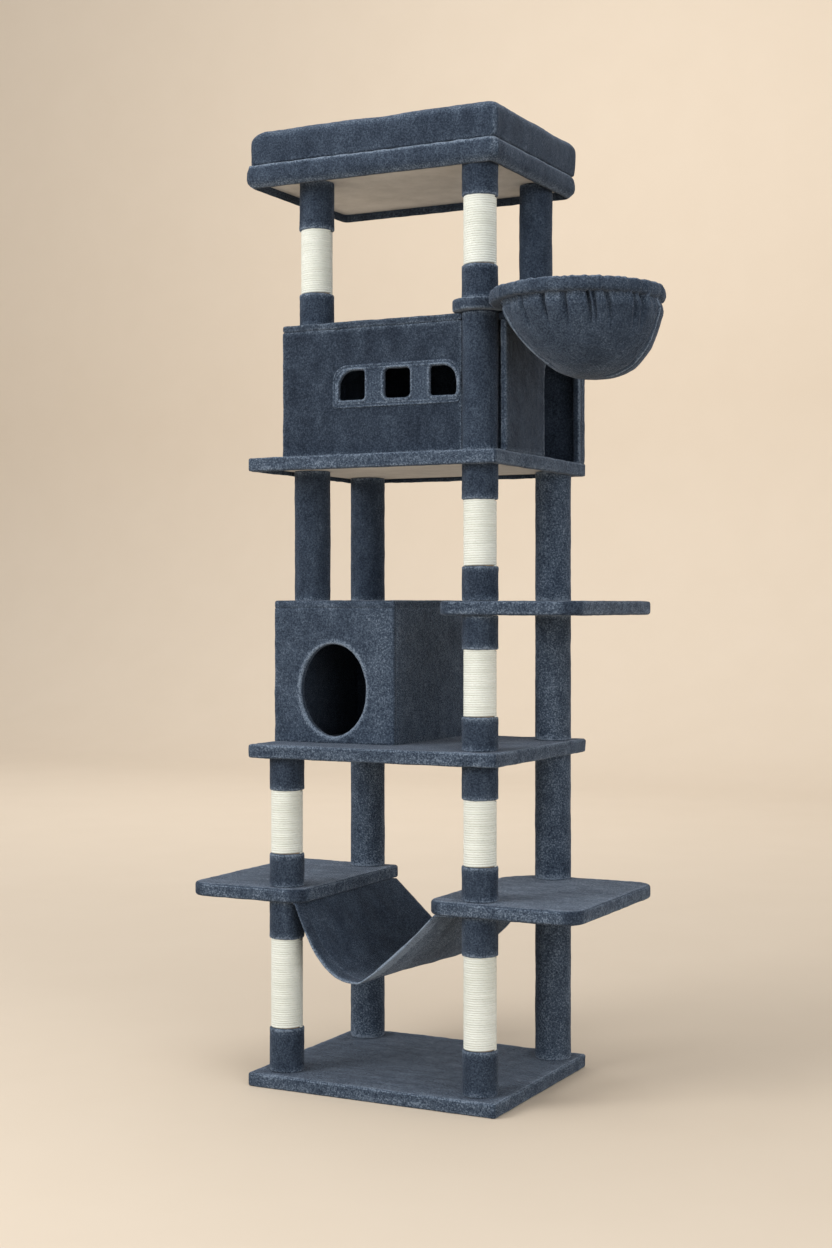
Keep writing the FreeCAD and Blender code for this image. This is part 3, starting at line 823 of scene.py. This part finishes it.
uf_low, uf_high = box_of(UPPER + "front")


def post_cutter(low, high, radius=0.0392):
    ring = [(FRONT_RIGHT[0] + radius * math.cos(a), FRONT_RIGHT[1] + radius * math.sin(a),
             low - 0.02) for a in turn]
    return prism(ring, (0, 0, high - low + 0.04))


panel("upper_house_front_panel", UPPER + "front",
      [post_cutter(uf_low[2], uf_high[2]), *window_cutters(uf_low[1] - 0.02, 0.06, 0.008)], 97)
door_box = box_of(UPPER + "right")
DOOR_Y, DOOR_TOP, DOOR_CORNER = (0.014, 0.212), door_box[0][2] + 0.225, 0.055
door_z = (door_box[0][2] - 0.03, DOOR_TOP)
door_ring = plate_outline(DOOR_Y, door_z, (0.001, 0.001, DOOR_CORNER, DOOR_CORNER),
                          lambda a, b: (door_box[0][0] - 0.02, a, b))


def door_ridge(now):
    off = rounded_rectangle(now[:, 1], now[:, 2], DOOR_Y, door_z,
                            (0.001, 0.001, DOOR_CORNER, DOOR_CORNER))
    face = smooth_step(now[:, 0], door_box[1][0] - 0.004, door_box[1][0] - 0.001)
    # the second value is a painted highlight on the door's rolled rim
    return 0.0012 * hill(off, 0.003, 0.004), 0.7 * face * hill(off, 0.002, 0.006)


panel("upper_house_right_panel", UPPER + "right", [prism(door_ring, (0.06, 0, 0))], 101,
      door_ridge)
panel("upper_house_back_panel", UPPER + "back", (), 103)
panel("upper_house_left_panel", UPPER + "left", (), 107)
roof_low, roof_high = box_of(UPPER + "roof")
corner_cut = block((FRONT_RIGHT[0], roof_low[1] - 0.02, roof_low[2] - 0.02),
                   (roof_high[0] + 0.02, FRONT_RIGHT[1], roof_high[2] + 0.02))
panel("upper_house_roof_panel", UPPER + "roof",
      [post_cutter(roof_low[2], roof_high[2]), corner_cut], 109)

SURROUND_RADII = (0.010, 0.010, 0.036, 0.036)
sur_u, sur_v = (sur_low[0], sur_high[0]), (sur_low[2], sur_high[2])
surround_ring = plate_outline(sur_u, sur_v, SURROUND_RADII,
                              lambda a, b: (a, sur_low[1] + 0.0006, b), 14)
surround = remeshed("window_surround", [prism(surround_ring, (0, 0.0085, 0))],
                    window_cutters(sur_low[1] - 0.01, 0.03), 0.0019, 3)


def surround_ridge(now):
    off = -rounded_rectangle(now[:, 0], now[:, 2], sur_u, sur_v, SURROUND_RADII)
    hole = window_distance(now)
    face = smooth_step(now[:, 1], sur_low[1] + 0.004, sur_low[1] + 0.0015)
    lines = hill(off, 0.0025, 0.0016) + hill(off, 0.0085, 0.0016)
    roll = hill(hole, 0.0032, 0.0030)
    rise = face * (0.0019 * lines - 0.0010 * hill(off, 0.0055, 0.0014)
                   + 0.0026 * roll - 0.0008 * hill(hole, 0.0085, 0.0018))
    # the second value is a painted highlight on the piping lines and the rolled window edges
    return rise, face * (0.10 + 0.36 * lines + 0.38 * roll)


ridge_highlight = pile(surround, 113, surround_ridge, 0.6)
pile_and_painted_highlight(surround, ridge_highlight)
dress(surround, WALL_PLUSH, nodes=[UPPER + "window_surround"])


# ---- basket
AXIS = Vector(next(j for j in record["behaviour"]["joints"]
                   if j["name"] == "basket_swivel")["pos_m"])
hoop_low, hoop_high = box_of("basket_hoop")
HOOP = np.append((hoop_low[:2] + hoop_high[:2]) / 2, AXIS[2])
ARM = math.atan2(HOOP[1] - AXIS[1], HOOP[0] - AXIS[0])
RIM_OUT, RIM_IN, RIM_TALL = 0.176, 0.148, 0.028
BOWL, BOWL_DEEP, BOWL_SKIN = 0.172, 0.160, 0.0036


def arm_frame(points):
    """From the basket's own frame, with the hoop's centre as origin and the arm along -X."""
    points = np.asarray(points)
    c, s = math.cos(ARM), math.sin(ARM)
    x, y = points[..., 0] * c - points[..., 1] * s, points[..., 0] * s + points[..., 1] * c
    return np.stack([x, y, points[..., 2]], -1) + HOOP


def gathers(angle, seed, counts=(23, 31, 41, 17)):
    draw = np.random.RandomState(seed)
    found = sum(draw.uniform(0.6, 1.0) * np.sin(n * angle + draw.uniform(0, 6.28)
                                               + 0.8 * np.sin(3 * angle + draw.uniform(0, 6)))
                for n in counts)
    return found / 1.9


around, down = 384, 50
theta = turns(around)
rim_low = -RIM_TALL / 2
share = np.linspace(1.0, 0.0, down) ** 0.8
rings = []
pleat = gathers(theta, 7)
# each deep pleat's angle round the rim, width and share of the full depth
PLEATS = ((-1.60, 0.034, 1.0), (-1.31, 0.034, 0.9), (-1.01, 0.024, 1.4), (-0.94, 0.024, 1.2),
          (-0.76, 0.034, 1.2), (-0.38, 0.032, 1.3), (-0.25, 0.030, 1.1), (0.45, 0.03, 0.7),
          (1.20, 0.030, 0.8), (1.85, 0.030, 0.7), (2.50, 0.030, 0.8), (-2.75, 0.03, 0.7),
          (-1.95, 0.030, 0.7))
SEAMS = (-2.45, 0.15)
LEAN, LEAN_BY = math.radians(33), 0.035      # which way the bowl's bottom is off centre, and how far


def from_angle(found, at):
    """How far round, in radians, each found angle is from one angle."""
    return np.abs((found - at + math.pi) % (2 * math.pi) - math.pi)


deep_pleats = sum(hill(from_angle(theta, a), 0, w * 0.8) * d for a, w, d in PLEATS)
lean = np.array([math.cos(LEAN), math.sin(LEAN)])
for s in share:
    drop = BOWL_DEEP * (1 - s ** (2.5 + s))
    height = rim_low - drop + 0.006
    gathered = smooth_step(s, 0.91, 1.0)
    folded = smooth_step(s, 0.80, 0.98)
    waist = -0.010 * hill(s, 0.985, 0.02)
    cut_in = 0.15 * hill(s, 0.5, 0.28) * np.clip(np.cos(theta + 2.5), 0, 1) ** 1.5
    radius = BOWL * s * (1 - cut_in) + waist
    radius = radius + 0.0032 * pleat * gathered - 0.0145 * deep_pleats * folded
    radius = radius + 0.0012 * np.sin(5 * theta + 9 * s) * s
    off = lean * LEAN_BY * (1 - s) ** 0.55 if s < 1 else lean * 0
    rings.append(np.column_stack([radius * np.cos(theta) + off[0],
                                  radius * np.sin(theta) + off[1],
                                  np.full(around, height)]))
points, faces = loft(rings, capped=False)
faces = [list(f)[::-1] for f in faces]
bowl = make("basket_cloth", arm_frame(np.array(points)), faces)
modify(bowl, "WELD", merge_threshold=0.0006)
modify(bowl, "SOLIDIFY", thickness=BOWL_SKIN, offset=-1.0, use_rim=True)
outward(bowl)
now = points_of(bowl)
local = now - HOOP
level = (local[:, 2] - rim_low) / BOWL_DEEP
bearing = np.arctan2(local[:, 1], local[:, 0]) - ARM
outer = smooth_step(np.hypot(local[:, 0], local[:, 1]), 0.04, 0.07)
from_seam = np.min([from_angle(bearing, a) for a in SEAMS], 0) * np.hypot(local[:, 0], local[:, 1])
seam = hill(from_seam, 0, 0.0026) * outer
fold = hill(from_seam, 0.010, 0.005) * outer
push(bowl, 0.0005 * swell(now, 0.05, 131) + 0.00025 * swell(now, 0.018, 132, 20)
     + 0.0022 * seam - 0.0014 * fold)
# painted highlight near the rim and along the seams
pile_and_painted_highlight(bowl, 0.22 * hill(level, -0.02, 0.10) + 0.9 * seam + 0.08)
dress(bowl, DEEP_PLUSH, body="basket", nodes=["basket_bowl"])

# the fat casing round the hoop, which passes just over the upper house's roof
ROOF_CLEAR, CASING_SHIFT = 0.0122, 0.0035
around, sides = 300, 22
theta = turns(around)
phi = turns(sides)
ruck = gathers(theta, 19, (47, 61, 79, 37))
rings = []
for angle, fold in zip(theta, ruck):
    plump = 1 + 0.07 * fold
    wide = (RIM_OUT - RIM_IN) / 2 * plump
    tall = RIM_TALL / 2 * (1.04 + 0.07 * fold)
    c, s = np.cos(phi), np.sin(phi)
    square = 1 / (np.abs(c) ** 3 + np.abs(s) ** 3) ** (1 / 3)
    merge = 0.012 * math.exp(-((abs(angle - math.pi) / 0.55) ** 2))
    r = (RIM_OUT + RIM_IN) / 2 + merge + wide * c * square
    z = tall * s * square
    rings.append(np.column_stack([r * math.cos(angle) - CASING_SHIFT, r * math.sin(angle), z]))
points, faces = torus(rings)
casing = outward(make("basket_rim_casing", arm_frame(points), faces))
now = points_of(casing)
push(casing, 0.0006 * swell(now, 0.03, 137) + 0.0003 * swell(now, 0.011, 138, 24))
now = points_of(casing)
towards_post = (now[:, :2] - HOOP[:2]) @ np.array([-math.cos(ARM), -math.sin(ARM)])
lowest = HOOP[2] - between((0.020, ROOF_CLEAR), smooth_step(towards_post, 0.0, 0.06))
now[:, 2] = np.maximum(now[:, 2], lowest)
put(casing, now)
# painted highlight: the casing's top is painted lighter than its sides
pile_and_painted_highlight(casing, 0.45 * smooth_step(now[:, 2] - HOOP[2], 0.008, 0.015) + 0.12)
dress(casing, DEEP_PLUSH, body="basket")

# bracket: a plush-covered collar on the post and the neck that holds the hoop
COLLAR = 0.0585
COLLAR_HALF = 0.0125
ring = [(AXIS[0] + COLLAR * math.cos(a), AXIS[1] + COLLAR * math.sin(a), AXIS[2] - COLLAR_HALF)
        for a in turn]
NECK_X, NECK_Y, NECK_HALF = (-0.2015, -0.160), (-0.023, 0.023), 0.008
across = [(NECK_X[i], NECK_Y[j], -NECK_HALF) for i, j in ((0, 0), (1, 0), (1, 1), (0, 1))]
neck = prism(arm_frame(across), (0, 0, 2 * NECK_HALF))
collar = remeshed("basket_bracket_plush", [prism(ring, (0, 0, 2 * COLLAR_HALF)), neck], (), 0.003, 9)
pile(collar, 139, None, 0.6)
now = points_of(collar)
now[:, 2] = np.clip(now[:, 2], AXIS[2] - COLLAR_HALF, AXIS[2] + COLLAR_HALF)
put(collar, now)
# painted highlight on the collar's top and bottom edges
pile_and_painted_highlight(collar, 0.6 * hill(np.abs(now[:, 2] - AXIS[2]), 0.012, 0.004) + 0.05)
dress(collar, POST_PLUSH, body="basket", nodes=["basket_bracket"])


# ---- hammock
STEP_LEVEL = box_of("left_step_plush_cover")[0][2]
SLING_Y, SLING_LEFT, SLING_RIGHT = (-0.230, 0.205), (-0.190, -0.168), (0.150, 0.190)
SLING_END, TAB_END, TAB_Y, SLING_DROP, CLOTH = 0.195, 0.222, 0.140, 0.160, 0.0030
KEEL, LEFT_POWER, RIGHT_POWER = (-0.035, -0.002), (2.55, 0.92), (1.2, 1.8)


def sling_height(x, share):
    """Height of the cloth's middle at x; share runs from the front edge to the back edge."""
    keel = between(KEEL, share)
    left = np.clip((keel - x) / (keel - between(SLING_LEFT, share)), 0, 1)
    right = np.clip((x - keel) / (between(SLING_RIGHT, share) - keel), 0, 1)
    rise = np.where(x < keel, left ** between(LEFT_POWER, share),
                    right ** between(RIGHT_POWER, share))
    return STEP_LEVEL - CLOTH / 2 - SLING_DROP * (1 - rise)


rows = np.linspace(0, 1, 70)
hanging = np.linspace(0, 1, 84)
grid_x = np.array([[-TAB_END, -SLING_END, *between((between(SLING_LEFT, share),
                                                    between(SLING_RIGHT, share)), hanging),
                    SLING_END, TAB_END] for share in rows]).T
grid_s = np.broadcast_to(rows, grid_x.shape)
grid_y = between(SLING_Y, grid_s)
cloth = np.stack([grid_x, grid_y, sling_height(grid_x, grid_s)], -1)
index = np.arange(grid_x.size).reshape(grid_x.shape)
quads = np.stack([index[:-1, :-1], index[1:, :-1], index[1:, 1:], index[:-1, 1:]], -1)
kept = np.ones(quads.shape[:2], bool)
kept[[0, -1]] = np.abs(grid_y[:1, 1:]) < TAB_Y
sling = make("hammock_cloth", cloth.reshape(-1, 3), quads[kept])
trim(sling)
modify(sling, "SOLIDIFY", thickness=CLOTH, offset=0.0, use_rim=True)
now = points_of(sling)
across = (now[:, 1] - SLING_Y[0]) / (SLING_Y[1] - SLING_Y[0])
from_ends = np.minimum(now[:, 0] - between(SLING_LEFT, across),
                       between(SLING_RIGHT, across) - now[:, 0])
free = smooth_step(from_ends, 0.0, 0.04)
in_front = now[:, 1] - SLING_Y[0]
hem = hill(in_front, 0.018, 0.016) + hill(SLING_Y[1] - now[:, 1], 0.012, 0.010)
stitch = hill(in_front, 0.038, 0.0025)
push(sling, free * (0.0008 * hem - 0.0011 * stitch + 0.0009 * swell(now, 0.09, 151)
                    + 0.0003 * swell(now, 0.02, 152, 20)))
to_right = smooth_step(now[:, 0], between(KEEL, across), between(KEEL, across) + 0.03)
# painted light: lighter towards the right, with a painted highlight on the front hem and the stitch
# line
pile_and_painted_highlight(sling, 0.05 + 0.37 * to_right
    + free * (0.45 * to_right * smooth_step(in_front, 0.041, 0.036)
              + 0.75 * hill(in_front, 0, 0.005) + 0.2 * stitch))
dress(sling, SLING_PLUSH_PAINTED_LIGHT, nodes=["hammock_sling"])


# ---- perch
p_low, p_high = box_of("perch_padded_cover")
CORNER_SEAM = np.array([p_high[0], p_low[1]])


def corner_seam(piece, radius, amount):
    """Draw a soft piece's front right corner out into an upright seam; gives back where the seam gets
    a painted highlight.
    """
    now = points_of(piece)
    away = np.linalg.norm(now[:, :2] - CORNER_SEAM, axis=1)
    near = hill(away, radius * (math.sqrt(2) - 1), 0.009)
    now[:, :2] += near[:, None] * amount * np.array([1, -1]) / math.sqrt(2)
    put(piece, now)
    return hill(away, radius * (math.sqrt(2) - 1), 0.0024)


def shoulder(down, radius):
    """How far in a quarter-round edge lies, at a distance down from its top."""
    return radius - np.sqrt(np.clip(radius ** 2 - (radius - np.minimum(down, radius)) ** 2, 0, 1))


LOOSE, TAUT = 0.022, 0.007         # the edge's radius as it is wrapped, and drawn out at the corners
pad = wrapped("perch_pad", "perch_padded_cover", (0.024,) * 4, edge=LOOSE, lip=0.013,
              recess=0.0205, seed=163, brushed=0.04, skin=0.0090, puff=0.0040)
now = points_of(pad)
middle, half = (p_low + p_high) / 2, (p_high - p_low) / 2
core = np.clip(now[:, :2] - middle[:2], 2 * LOOSE - half[:2], half[:2] - 2 * LOOSE)
way = now[:, :2] - middle[:2] - core
reach = np.linalg.norm(way, axis=1)
down = np.clip(p_high[2] - now[:, 2], 0, 1)
out = (shoulder(down, LOOSE) - shoulder(down, TAUT)) * np.clip(reach / LOOSE, 0, 1)
now[:, :2] += way / np.maximum(reach, 1e-9)[:, None] * out[:, None]
put(pad, now)
seam = corner_seam(pad, 0.024, 0.006)
now = points_of(pad)
rim = inward(now, p_low, p_high)
side = smooth_step(rim, 0.020, 0.004)
# painted highlight on the pad's top and bottom edges and its corner seam
pile_and_painted_highlight(pad, side * (0.85 * hill(now[:, 2], p_high[2] - 0.002, 0.0045) + 0.28 * seam
                 + 0.45 * hill(now[:, 2], p_low[2] + 0.004, 0.005)) + 0.06)
dress(pad, SOFT_PLUSH, nodes=["perch_padded_cover"])


def bolster_section(width, height, edge):
    """Closed section of the raised rim as (distance in from the outer face, height)."""
    corners = ((0, 0, 0.004), (width, 0, 0.004), (width, height, edge), (0, height, edge))
    arcs = []
    for (u, v, r), start in zip(corners, (180, 270, 0, 90)):
        bend = [math.radians(start + 90 * k / 8) for k in range(9)]
        arcs.append([(abs(u - r) + r * math.cos(a), abs(v - r) + r * math.sin(a)) for a in bend])
    found = []
    for number, arc in enumerate(arcs):
        (u0, v0), (u1, v1) = arc[-1], arcs[(number + 1) % 4][0]
        found += arc
        found += [(u0 + (u1 - u0) * k / 7, v0 + (v1 - v0) * k / 7) for k in range(1, 7)]
    return np.array(found)


def round_rectangle(low, high, radii):
    """Points round a rectangle, with the same number on each side whatever its radii."""
    found = []
    ends = []
    for (i, j), r, start in zip(((0, 0), (1, 0), (1, 1), (0, 1)), radii, (180, 270, 0, 90)):
        hub = (low[0] + r if i == 0 else high[0] - r, low[1] + r if j == 0 else high[1] - r)
        bend = [math.radians(start + 90 * k / 12) for k in range(13)]
        ends.append([(hub[0] + r * math.cos(a), hub[1] + r * math.sin(a)) for a in bend])
    for number, arc in enumerate(ends):
        first, last = np.array(arc[-1]), np.array(ends[(number + 1) % 4][0])
        steps = (84, 60, 84, 60)[number]
        found += [np.array(spot) for spot in arc]
        found += [first + (last - first) * k / steps for k in range(1, steps)]
    return np.array(found)


BOLSTER = 0.080
b_low, b_high = box_of("perch_bolster")
outer_loop = round_rectangle(b_low, b_high, (0.022, 0.012, 0.018, 0.024))
inner_loop = round_rectangle(b_low + BOLSTER, b_high - BOLSTER, (0.018,) * 4)
rings = []
for outer_at, inner_at in zip(outer_loop, inner_loop):
    along = (outer_at[0] - b_low[0]) / (b_high[0] - b_low[0])
    section = bolster_section(BOLSTER, b_high[2] - b_low[2], between((0.030, 0.021), along))
    flat = outer_at + (inner_at - outer_at) * section[:, :1] / BOLSTER
    rings.append(np.column_stack([flat, b_low[2] + section[:, 1]]))
points, faces = torus(rings)
bolster = outward(make("perch_bolster_plush", points, faces))
now = points_of(bolster)
full = fullness(now, b_low, b_high) * (1 - np.abs(normals_of(bolster)[:, 2]))
push(bolster, (0.0008 + 0.0026 * smooth_step(now[:, 0], b_low[0], b_high[0])) * full
     + 0.0008 * swell(now, 0.11, 173) + 0.0003 * swell(now, 0.02, 174, 20))
seam = corner_seam(bolster, 0.012, 0.003)
now = points_of(bolster)
side = smooth_step(inward(now, b_low, b_high), 0.012, 0.0)
# painted highlight on the bolster's top, its bottom edge and its corner seam
pile_and_painted_highlight(bolster, side * (0.32 * seam + 0.15 * hill(now[:, 2], b_low[2] + 0.002, 0.005))
    + 0.36 * hill(now[:, 2], b_high[2] - 0.008, 0.010))
dress(bolster, SOFT_PLUSH, nodes=["perch_bolster"])

c_low, c_high = box_of("perch_cushion")
points, faces = lattice(ticks(c_low[0], c_high[0], [0, 0.003, 0.006, 0.012]),
                        ticks(c_low[1], c_high[1], [0, 0.003, 0.006, 0.012]),
                        ticks(c_low[2], c_high[2], [0, 0.003, 0.006, 0.010]))
cushion = make("perch_cushion_plush", rounded(points, c_low, c_high, (0.017,) * 4, 0.0105), faces)
now = points_of(cushion)
edge = inward(now, c_low, c_high)
top = smooth_step(now[:, 2], c_low[2] + 0.01, c_high[2])
push(cushion, top * (0.006 * smooth_step(edge, 0.0, 0.07) + 0.0012 * swell(now, 0.10, 181)
                     + 0.0003 * swell(now, 0.02, 182, 20)) - 0.0006)
# painted highlight round the top's edge
pile_and_painted_highlight(cushion, 0.5 * hill(edge, 0.004, 0.006) * top)
dress(cushion, SOFT_PLUSH, nodes=["perch_cushion"])


# ---- carried-over CAD nodes
slots = {row["node"]: row["material_slot"] for row in record["subparts"]}
for cad, thing in frame["nodes"].items():
    if thing.hide_render:
        continue
    material = CARRIED[slots[cad]]
    if thing.material_slots:
        for place in thing.material_slots:
            place.material = material
    else:
        thing.data.materials.append(material)


# ---- floor, light and camera
def stage_floor():
    """A pale floor that turns up far behind into a wall."""
    near, far, bend, top, wide = -9.0, 6.5, 2.5, 9.0, 14.0
    rows = [(near, 0.0), (far, 0.0)]
    for k in range(1, 13):
        a = math.radians(90 * k / 12)
        rows.append((far + bend * math.sin(a), bend - bend * math.cos(a)))
    rows.append((far + bend, top))
    points = [(x, y, z) for y, z in rows for x in (-wide, wide)]
    faces = [(2 * k, 2 * k + 1, 2 * k + 3, 2 * k + 2) for k in range(len(rows) - 1)]
    floor = make("studio_floor", points, faces)
    material, tree = tree_of("studio_paper")
    where = node(tree, "TexCoord").outputs["Object"]
    tint = ramp(tree, grain(tree, where, (1, 1, 1), 3.0), ((0.3, (0.60, 0.505, 0.395)),
                                                           (0.7, (0.61, 0.515, 0.405))))
    shade(tree, {"Base Color": tint, "Roughness": 0.9})
    floor.data.materials.append(material)


def area(name, place, towards, size, power, colour=(1, 1, 1)):
    lamp = bpy.data.lights.new(name, "AREA")
    lamp.shape = "RECTANGLE"
    lamp.size, lamp.size_y = size
    lamp.energy = power
    lamp.color = colour
    thing = bpy.data.objects.new(name, lamp)
    scene.collection.objects.link(thing)
    thing.location = place
    thing.rotation_mode = "QUATERNION"
    aim = Vector(towards) - Vector(place)
    thing.rotation_quaternion = aim.to_track_quat("-Z", "Y")


stage_floor()
world = bpy.data.worlds.new("studio")
scene.world = world
world.use_nodes = True
sky = world.node_tree.nodes["Background"].inputs
sky["Color"].default_value = (0.97, 0.98, 1.0, 1)
sky["Strength"].default_value = 0.80
area("key", (-2.6, -3.6, 2.9), (0, 0, 0.8), (2.4, 2.4), 165)
area("fill", (3.6, -2.8, 1.6), (0, 0, 0.9), (2.4, 2.4), 62, (0.93, 0.96, 1.0))
area("top", (0.2, -0.4, 4.4), (0, 0, 1.0), (2.6, 2.6), 36)
area("backdrop", (-2.5, 3.0, 5.6), (-4.6, 9.0, 2.4), (5.0, 2.0), 275)

camera = bpy.data.cameras.new("camera")
camera.lens = 54.457
camera.sensor_width = 36.0
camera.shift_y = -0.01634
camera.clip_end = 60.0
viewer = bpy.data.objects.new("camera", camera)
scene.collection.objects.link(viewer)
viewer.location = (1.9223, -3.7804, 1.0615)
viewer.rotation_euler = (math.radians(90), 0, math.radians(27.083))
scene.camera = viewer
scene.view_settings.view_transform = "Standard"
scene.view_settings.look = "None"
